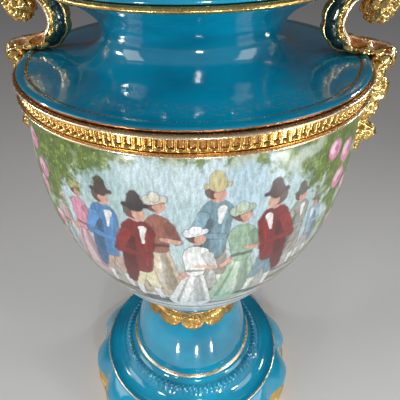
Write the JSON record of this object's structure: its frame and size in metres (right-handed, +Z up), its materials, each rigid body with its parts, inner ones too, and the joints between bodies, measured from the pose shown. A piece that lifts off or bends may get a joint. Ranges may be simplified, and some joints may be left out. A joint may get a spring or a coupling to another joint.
{
  "type": "mantel urn",
  "caption": "Lidded porcelain mantel urn on a lobed foot, with gilt scroll handles and a fluted gilt band.",
  "frame": {"origin": "centre of the surface the urn stands on", "axes": "+Z up the urn's axis towards the lid's knob; X through the two handles, with handle_right on +X; the painted front faces -Y"},
  "size_m": [0.2304, 0.2, 0.43],
  "materials": {
    "painted_porcelain": "glossy",
    "turquoise_glaze": "glossy",
    "gilt": "polished"
  },
  "bodies": {
    "root": {"vessel": "painted_porcelain", "fluted_band": "gilt", "handle_right": "gilt", "handle_left": "gilt", "lappet_collar": "gilt", "foot": "turquoise_glaze", "lid": "turquoise_glaze"}
  },
  "joints": []
}
